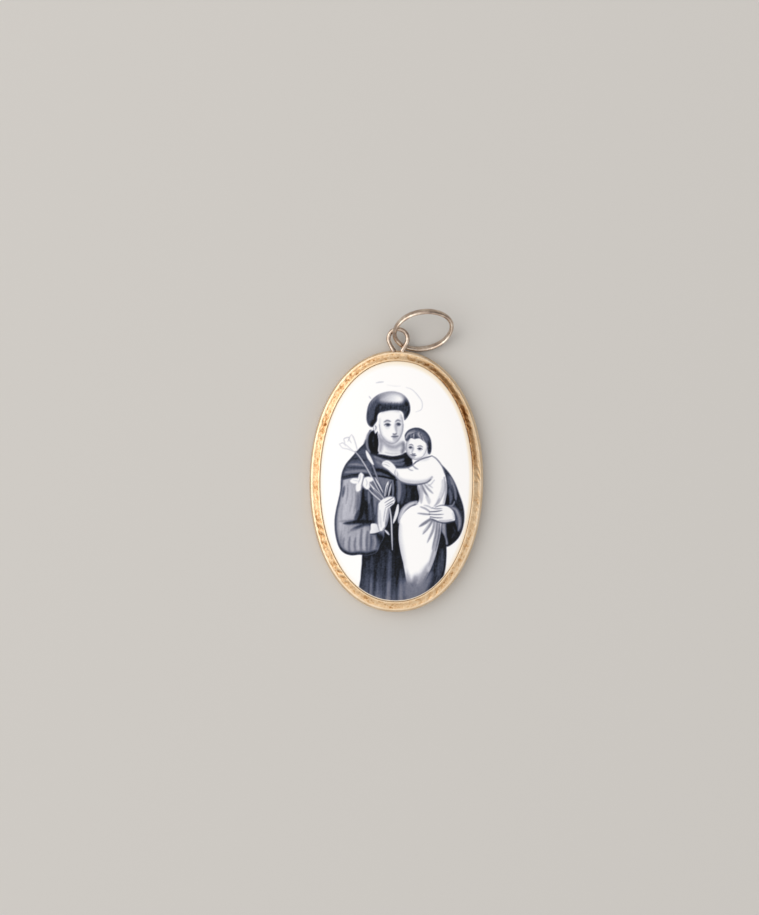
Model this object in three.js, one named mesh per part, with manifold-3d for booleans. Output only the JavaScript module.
// An oval enamelled medal with its jump ring, lying on its back. Millimetres, +Z up out of the picture,
// +Y towards the eye, origin at the middle of the flat back.
import * as THREE from "three";
import { mergeVertices } from "three/addons/utils/BufferGeometryUtils.js";
import Module from "manifold-3d";

const wasm = await Module();
wasm.setup();

// Outline of the medal: a superellipse a little fuller than an ellipse
const bodyLength = 34.0;
const bodyWidth = 22.6;
const outlinePower = 2.1;

// Stamped frame: a cup with a closed back
const wallHeight = 1.5; // outer wall, from the back to the bevel
const lipHeight = 2.2; // highest ring of the frame, at the inner lip
const bandWidth = 1.3; // seen from above, from the outer wall to the lip's edge
const floorThickness = 0.45;
const cupWall = 1.0; // from the outer wall to the pocket that holds the plaque
const lipThickness = 0.42;
const backRound = 0.3; // rounding of the back's edge
const bevelWidth = 0.32; // bright outer bevel of the band
const bevelRise = 0.24;

// Slanted worn gadroons around the band
const gadroonCount = 84;
const gadroonRelief = 0.07; // crest above valley
const gadroonLean = 0.75; // how far a crest runs sideways across the band, in repeats

// Enamelled plaque in the cup
const sideClearance = 0.1; // around the plaque's edge
const lipClearance = 0.08; // between the plaque and the lip
const domeHeight = 0.62; // middle of the enamel above its shoulder by the lip
const shoulderDrop = 0.1; // enamel's shoulder below the lip's edge

// Wire eye soldered to the frame's top edge
const eyeWire = 0.56;
const eyeRadius = 1.25; // centreline of the loop
const eyeReach = 1.53; // loop's centre above the frame's edge
const eyeFootSpread = 0.76; // each foot from the middle
const eyeHeight = 1.6; // wire's centre above the table
const solderRadius = 0.36;

// Oval jump ring of flattened wire, through the eye
const ringHalfLength = 3.84; // centreline
const ringHalfWidth = 2.94;
const ringRadial = 0.58; // wire, across the ring's band
const ringAxial = 0.78; // wire, along the ring's axis
const ringOffset = 3.24; // ring's middle to the right of the eye's
const ringAboveEye = 1.12; // ring's middle beyond the eye loop's centre
const ringTilt = 36; // degrees, far side lifted
const ringHeading = 10; // degrees, anticlockwise seen from above

// Fineness of the meshes
const stationsPerGadroon = 2;
const plaqueStations = 84;
const eyeSteps = 26;
const eyeSides = 10;
const ringSides = 16;
const wireSides = 6;

const halfLength = bodyLength / 2;
const halfWidth = bodyWidth / 2;
const outlineSteps = 1440;

// Point of the outline at an angle, and the direction straight into the medal there.
function outlineAt(angle) {
  const c = Math.cos(angle);
  const s = Math.sin(angle);
  const x = halfWidth * Math.sign(c) * Math.abs(c) ** (2 / outlinePower);
  const y = halfLength * Math.sign(s) * Math.abs(s) ** (2 / outlinePower);
  const nx = (Math.sign(x) * Math.abs(x / halfWidth) ** (outlinePower - 1)) / halfWidth;
  const ny = (Math.sign(y) * Math.abs(y / halfLength) ** (outlinePower - 1)) / halfLength;
  const length = Math.hypot(nx, ny);
  return { x, y, inX: -nx / length, inY: -ny / length };
}

// Angles of the outline against the share of its length, so that repeats are evenly spaced.
const lengthTable = [0];
for (let i = 0; i < outlineSteps; i++) {
  const a = outlineAt((2 * Math.PI * i) / outlineSteps);
  const b = outlineAt((2 * Math.PI * (i + 1)) / outlineSteps);
  lengthTable.push(lengthTable[i] + Math.hypot(b.x - a.x, b.y - a.y));
}

function angleAtShare(share) {
  const turns = Math.floor(share);
  const wanted = (share - turns) * lengthTable[outlineSteps];
  let low = 0;
  let high = outlineSteps;
  while (high - low > 1) {
    const middle = (low + high) >> 1;
    if (lengthTable[middle] > wanted) high = middle;
    else low = middle;
  }
  const part = (wanted - lengthTable[low]) / (lengthTable[high] - lengthTable[low]);
  return 2 * Math.PI * (turns + (low + part) / outlineSteps);
}

// Closed skin from loops of points, each of the same count, between a first and a last single point.
function skinBetweenPoints(first, loops, last) {
  const count = loops[0].length;
  const positions = [...first, ...loops.flat(2), ...last];
  const index = [];
  const lastPoint = 1 + loops.length * count;
  for (let i = 0; i < count; i++) {
    const next = (i + 1) % count;
    index.push(0, 1 + next, 1 + i);
    for (let k = 0; k + 1 < loops.length; k++) {
      const a = 1 + k * count;
      const b = a + count;
      index.push(a + i, a + next, b + next, a + i, b + next, b + i);
    }
    const end = 1 + (loops.length - 1) * count;
    index.push(end + i, end + next, lastPoint);
  }
  const geometry = new THREE.BufferGeometry();
  geometry.setAttribute("position", new THREE.Float32BufferAttribute(positions, 3));
  geometry.setIndex(index);
  return geometry;
}

// One loop around the medal at an inset from its edge; relief lifts every other station.
function loopAt(inset, z, stations, shift = 0, relief = 0) {
  const loop = [];
  for (let i = 0; i < stations; i++) {
    const p = outlineAt(angleAtShare((i + shift) / stations));
    const lift = i % stationsPerGadroon === 0 ? relief / 2 : -relief / 2;
    loop.push([p.x + inset * p.inX, p.y + inset * p.inY, z + lift]);
  }
  return loop;
}

function solidOf(geometry) {
  const bare = geometry.clone();
  bare.deleteAttribute("normal");
  bare.deleteAttribute("uv");
  const merged = mergeVertices(bare, 1e-4);
  return new wasm.Manifold(
    new wasm.Mesh({
      numProp: 3,
      vertProperties: new Float32Array(merged.attributes.position.array),
      triVerts: new Uint32Array(merged.index.array),
    }),
  );
}

function geometryOf(solid) {
  const mesh = solid.getMesh();
  const geometry = new THREE.BufferGeometry();
  geometry.setAttribute("position", new THREE.BufferAttribute(mesh.vertProperties, 3));
  geometry.setIndex(new THREE.BufferAttribute(mesh.triVerts, 1));
  return geometry;
}

// The band climbs from the bevel to the lip in a convex curve; the gadroons run across it.
function bandLoops(stations) {
  const rows = [
    { across: 0.12, rise: 0.16, relief: 0.6 },
    { across: 0.45, rise: 0.62, relief: 1.0 },
    { across: 0.82, rise: 0.95, relief: 0.8 },
    { across: 0.95, rise: 1.0, relief: 0.15 },
  ];
  const bevelTop = wallHeight + bevelRise;
  return rows.map((row) =>
    loopAt(
      bevelWidth + row.across * (bandWidth - bevelWidth),
      bevelTop + row.rise * (lipHeight - bevelTop),
      stations,
      row.across * gadroonLean * stationsPerGadroon,
      row.relief * gadroonRelief,
    ),
  );
}

function cupGeometry() {
  const stations = gadroonCount * stationsPerGadroon;
  const lean = gadroonLean * stationsPerGadroon;
  const lipUnder = lipHeight - lipThickness;
  const loops = [
    loopAt(backRound, 0, stations),
    loopAt(backRound * 0.3, backRound * 0.3, stations),
    loopAt(0, backRound, stations),
    loopAt(0, wallHeight, stations),
    loopAt(bevelWidth * 0.35, wallHeight + bevelRise * 0.7, stations),
    ...bandLoops(stations),
    loopAt(bandWidth, lipHeight - lipThickness * 0.3, stations, lean),
    loopAt(bandWidth, lipUnder, stations, lean),
    loopAt(cupWall, lipUnder, stations, lean),
    loopAt(cupWall, floorThickness, stations, lean),
  ];
  return skinBetweenPoints([0, 0, 0], loops, [0, 0, floorThickness]);
}

// Wire loop with two feet that run into the frame's wall.
function eyePath() {
  const footDepth = eyeWire;
  const footY = halfLength - footDepth;
  const loopY = halfLength + eyeReach;
  const neck = Math.acos((eyeFootSpread + eyeWire * 0.1) / eyeRadius);
  const points = [new THREE.Vector3(eyeFootSpread, footY, eyeHeight)];
  const arcSteps = 16;
  for (let i = 0; i <= arcSteps; i++) {
    const a = -neck + ((Math.PI + 2 * neck) * i) / arcSteps;
    points.push(
      new THREE.Vector3(eyeRadius * Math.cos(a), loopY + eyeRadius * Math.sin(a), eyeHeight),
    );
  }
  points.push(new THREE.Vector3(-eyeFootSpread, footY, eyeHeight));
  return new THREE.CatmullRomCurve3(points, false, "centripetal");
}

function eyeSolid() {
  const section = new THREE.Shape();
  section.absarc(0, 0, eyeWire / 2, 0, 2 * Math.PI, false);
  const wire = new THREE.ExtrudeGeometry(section, {
    extrudePath: eyePath(),
    steps: eyeSteps,
    curveSegments: eyeSides,
  });
  let solid = solidOf(wire);
  for (const side of [-1, 1]) {
    const drop = new THREE.SphereGeometry(solderRadius, 12, 8);
    drop.scale(1.25, 0.9, 0.95);
    drop.translate(side * eyeFootSpread, halfLength - solderRadius * 0.35, eyeHeight);
    solid = solid.add(solidOf(drop));
  }
  return solid;
}

// Domed plaque: flat under side on the cup's floor, edge under the lip, crown in the middle.
function plaqueGeometry() {
  const edge = cupWall + sideClearance;
  const underLip = lipHeight - lipThickness - lipClearance;
  const shoulderInset = bandWidth + lipClearance;
  const shoulderHeight = lipHeight - shoulderDrop;
  const rows = [
    { inset: edge, z: floorThickness },
    { inset: edge, z: underLip },
    { inset: shoulderInset, z: underLip },
    { inset: shoulderInset, z: shoulderHeight - shoulderDrop },
    { inset: shoulderInset + 2 * shoulderDrop, z: shoulderHeight },
  ];
  const loops = rows.map((row) => loopAt(row.inset, row.z, plaqueStations));
  const rim = loops[loops.length - 1];
  for (const share of [0.88, 0.68, 0.42, 0.18]) {
    const z = shoulderHeight + domeHeight * (1 - share ** 2.4);
    loops.push(rim.map(([x, y]) => [x * share, y * share, z]));
  }
  const top = [0, 0, shoulderHeight + domeHeight];
  return skinBetweenPoints([0, 0, floorThickness], loops, top);
}

// Oval ring of flattened wire in its own plane, its section an oval of few sides.
function ringGeometry() {
  const positions = [];
  const index = [];
  for (let i = 0; i < ringSides; i++) {
    const a = (2 * Math.PI * i) / ringSides;
    const nx = Math.cos(a) / ringHalfLength;
    const ny = Math.sin(a) / ringHalfWidth;
    const length = Math.hypot(nx, ny);
    for (let k = 0; k < wireSides; k++) {
      const s = (2 * Math.PI * (k + 0.5)) / wireSides;
      const out = (ringRadial / 2) * Math.cos(s) * (1 / Math.cos(Math.PI / wireSides));
      const up = (ringAxial / 2) * Math.sin(s);
      positions.push(
        ringHalfLength * Math.cos(a) + (out * nx) / length,
        ringHalfWidth * Math.sin(a) + (out * ny) / length,
        up,
      );
      const j = (i + 1) % ringSides;
      const m = (k + 1) % wireSides;
      const p = [i * wireSides + k, j * wireSides + k, j * wireSides + m, i * wireSides + m];
      index.push(p[0], p[1], p[2], p[0], p[2], p[3]);
    }
  }
  const geometry = new THREE.BufferGeometry();
  geometry.setAttribute("position", new THREE.Float32BufferAttribute(positions, 3));
  geometry.setIndex(index);
  return geometry;
}

const giltBrass = new THREE.MeshStandardMaterial({
  color: "#d9b98a",
  roughness: 0.3,
  metalness: 1,
});
const whiteEnamel = new THREE.MeshStandardMaterial({
  color: "#f7f4ee",
  roughness: 0.15,
  metalness: 0,
});
const paleGold = new THREE.MeshStandardMaterial({
  color: "#d8c0a2",
  roughness: 0.28,
  metalness: 1,
});

const medal = new THREE.Group();

const frame = new THREE.Mesh(geometryOf(solidOf(cupGeometry()).add(eyeSolid())), giltBrass);
frame.name = "bezel_frame";
medal.add(frame);

const plaque = new THREE.Mesh(plaqueGeometry(), whiteEnamel);
plaque.name = "enamel_plaque";
medal.add(plaque);

// The ring is turned first, and then set down with its lowest point on the table.
const ringTurn = new THREE.Euler(
  THREE.MathUtils.degToRad(ringTilt),
  0,
  THREE.MathUtils.degToRad(ringHeading),
  "ZXY",
);
const turnedRing = ringGeometry().applyMatrix4(new THREE.Matrix4().makeRotationFromEuler(ringTurn));
turnedRing.computeBoundingBox();
const ring = new THREE.Mesh(turnedRing, paleGold);
ring.name = "jump_ring";
ring.position.set(
  ringOffset,
  halfLength + eyeReach + ringAboveEye,
  -turnedRing.boundingBox.min.z,
);
medal.add(ring);

export default medal;
